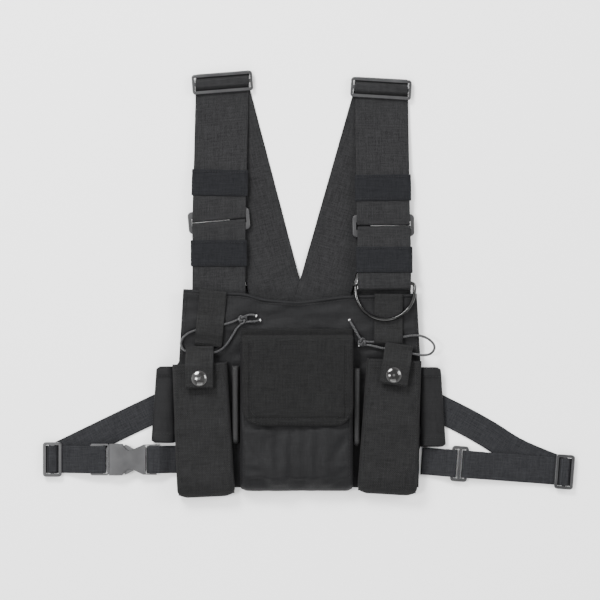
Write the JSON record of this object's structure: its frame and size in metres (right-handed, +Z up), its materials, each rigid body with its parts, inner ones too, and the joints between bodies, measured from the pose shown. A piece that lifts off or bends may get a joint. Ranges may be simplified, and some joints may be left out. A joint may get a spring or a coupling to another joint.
{
  "type": "safety harness vest",
  "caption": "Padded chest pack on wide shoulder webbing and a buckled waist belt, with radio pouches, a flap pocket, pen sleeves and a D-ring.",
  "frame": {"origin": "centre of the yoke patch's underside, on the table", "axes": "+X across the wearer, from the buckle's side to the D-ring's side; +Y towards the shoulders; +Z up from the table, out of the wearer's chest"},
  "size_m": [0.5077, 0.4074, 0.0303],
  "materials": {
    "pack_fabric": "woven, matt",
    "yoke_fabric": "woven, matt",
    "binding_tape": "ribbed tape",
    "shoulder_webbing": "woven webbing",
    "waist_webbing": "woven webbing",
    "elastic_band": "knitted elastic",
    "elastic_cord": "braided, with light flecks",
    "hook_and_loop": "hook and loop",
    "plastic_hardware": "moulded acetal, satin",
    "dark_metal": "dark nickel plate"
  },
  "bodies": {
    "pack": {"yoke_patch": "yoke_fabric", "left_shoulder_strap": "shoulder_webbing", "right_shoulder_strap": "shoulder_webbing", "left_lower_strap": "shoulder_webbing", "right_lower_strap": "shoulder_webbing", "d_ring_patch": "shoulder_webbing", "left_top_slider": "plastic_hardware", "right_top_slider": "plastic_hardware", "left_middle_ring": "plastic_hardware", "right_middle_ring": "plastic_hardware", "main_panel": "pack_fabric", "panel_binding": "binding_tape", "centre_pocket": "pack_fabric", "flap_seam_tape": "binding_tape", "pocket_loop_strip": "hook_and_loop", "left_radio_pouch": "pack_fabric", "right_radio_pouch": "pack_fabric", "left_pen_sleeve": "pack_fabric", "right_pen_sleeve": "pack_fabric", "left_side_sleeve": "pack_fabric", "right_side_sleeve": "pack_fabric", "left_retention_strip": "waist_webbing", "right_retention_strip": "waist_webbing", "left_snap_stud": "dark_metal", "right_snap_stud": "dark_metal", "left_snap_eyelet": "dark_metal", "right_snap_eyelet": "dark_metal", "left_cord": "elastic_cord", "right_cord": "elastic_cord", "left_cord_knot": "elastic_cord", "right_cord_knot": "elastic_cord", "left_waist_strap": "waist_webbing", "right_waist_strap": "waist_webbing", "left_end_slider": "plastic_hardware", "right_end_slider": "plastic_hardware", "right_adjuster": "plastic_hardware", "left_pack_webbing": "waist_webbing", "right_pack_webbing": "waist_webbing", "buckle_socket": "plastic_hardware", "buckle_plug": "plastic_hardware"},
    "flap": {"centre_flap": "pack_fabric", "flap_hook_strip": "hook_and_loop"},
    "left_tab": {"left_tab": "waist_webbing", "left_snap_cap": "dark_metal", "left_snap_socket": "dark_metal"},
    "right_tab": {"right_tab": "waist_webbing", "right_snap_cap": "dark_metal", "right_snap_socket": "dark_metal"},
    "d_ring": {"d_ring": "dark_metal"},
    "left_upper_keeper": {"left_upper_keeper": "elastic_band"},
    "right_upper_keeper": {"right_upper_keeper": "elastic_band"},
    "left_lower_keeper": {"left_lower_keeper": "elastic_band"},
    "right_lower_keeper": {"right_lower_keeper": "elastic_band"},
    "upper_prong": {"buckle_upper_prong": "plastic_hardware"},
    "lower_prong": {"buckle_lower_prong": "plastic_hardware"}
  },
  "joints": [
    {"name": "flap_hinge", "type": "hinge", "parent": "pack", "child": "flap", "pos_m": [-0.0022, -0.00767, 0.0232], "axis": [-1, 0, 0], "range_deg": [0, 155]},
    {"name": "left_tab_hinge", "type": "hinge", "parent": "pack", "child": "left_tab", "pos_m": [-0.0952, -0.0209, 0.01357], "axis": [-1, 0, 0], "range_deg": [0, 115]},
    {"name": "right_tab_hinge", "type": "hinge", "parent": "pack", "child": "right_tab", "pos_m": [0.0932, -0.0198, 0.01361], "axis": [-0.9869, 0.1615, 0.0065], "range_deg": [0, 98]},
    {"name": "d_ring_hinge", "type": "hinge", "parent": "pack", "child": "d_ring", "pos_m": [0.08075, 0.04434, 0.01398], "axis": [-1, 0, 0], "range_deg": [0, 140]},
    {"name": "left_upper_keeper_slide", "type": "slide", "parent": "pack", "child": "left_upper_keeper", "axis": [0.0244, 0.9982, -0.0541], "range_m": [0, 0.015]},
    {"name": "right_upper_keeper_slide", "type": "slide", "parent": "pack", "child": "right_upper_keeper", "axis": [-0.0139, 0.9984, -0.0546], "range_m": [0, 0.015]},
    {"name": "left_lower_keeper_slide", "type": "slide", "parent": "pack", "child": "left_lower_keeper", "axis": [0, 0.9999, 0.0139], "range_m": [-0.016, 0]},
    {"name": "right_lower_keeper_slide", "type": "slide", "parent": "pack", "child": "right_lower_keeper", "axis": [0, 0.9857, -0.1684], "range_m": [-0.004, 0]},
    {"name": "upper_prong_squeeze", "type": "hinge", "parent": "pack", "child": "upper_prong", "pos_m": [-0.1797, -0.113, 0.0057], "axis": [0, 0, -1], "range_deg": [0, 8], "stiffness_Nm_per_rad": 0.6},
    {"name": "lower_prong_squeeze", "type": "hinge", "parent": "pack", "child": "lower_prong", "pos_m": [-0.1797, -0.1338, 0.0057], "axis": [0, 0, -1], "range_deg": [-8, 0], "stiffness_Nm_per_rad": 0.6}
  ],
  "couplings": [
    {"joint": "lower_prong_squeeze", "follows": "upper_prong_squeeze", "ratio": -1}
  ]
}
